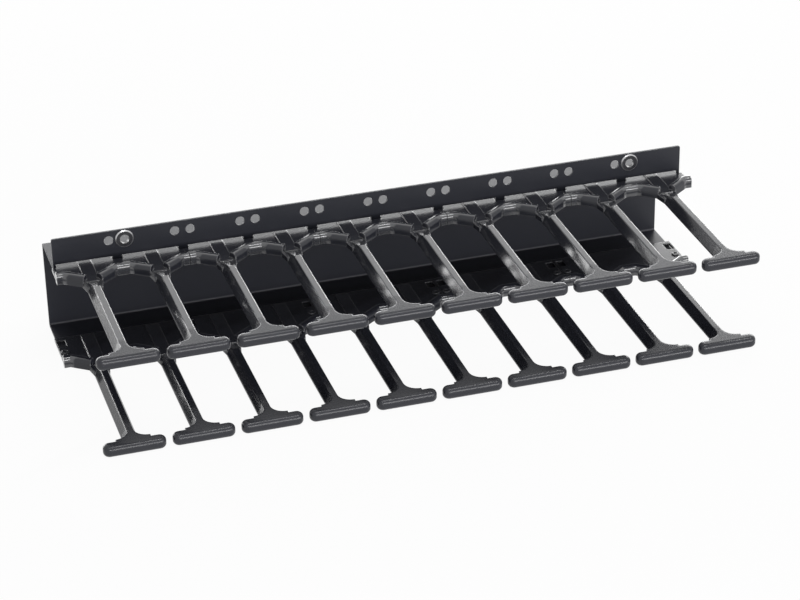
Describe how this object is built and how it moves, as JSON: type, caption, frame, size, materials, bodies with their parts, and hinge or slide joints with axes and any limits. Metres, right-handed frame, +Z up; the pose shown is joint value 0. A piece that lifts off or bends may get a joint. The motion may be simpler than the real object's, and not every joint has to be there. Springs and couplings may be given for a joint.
{
  "type": "horizontal cable manager",
  "caption": "Rack cable manager: folded steel tray with an upright lacing plate and two rows of moulded plastic T-headed fingers with rounded arches between them.",
  "frame": {"origin": "middle of the part's box, on its bottom face", "axes": "X along the rack's width, -Y towards the finger tips at the front, +Z up"},
  "size_m": [0.444, 0.184, 0.0855],
  "materials": {
    "tray_coat": "satin black powder coat",
    "finger_plastic": "satin black moulded plastic",
    "bush": "black coated steel, worn rim"
  },
  "bodies": {
    "root": {"tray": "tray_coat", "lacing_plate": "tray_coat", "upper_finger_module_1": "finger_plastic", "upper_finger_module_2": "finger_plastic", "upper_finger_module_3": "finger_plastic", "upper_finger_module_4": "finger_plastic", "upper_finger_module_5": "finger_plastic", "lower_finger_module_1": "finger_plastic", "lower_finger_module_2": "finger_plastic", "lower_finger_module_3": "finger_plastic", "lower_finger_module_4": "finger_plastic", "lower_finger_module_5": "finger_plastic", "left_bush": "bush", "right_bush": "bush"}
  },
  "joints": []
}
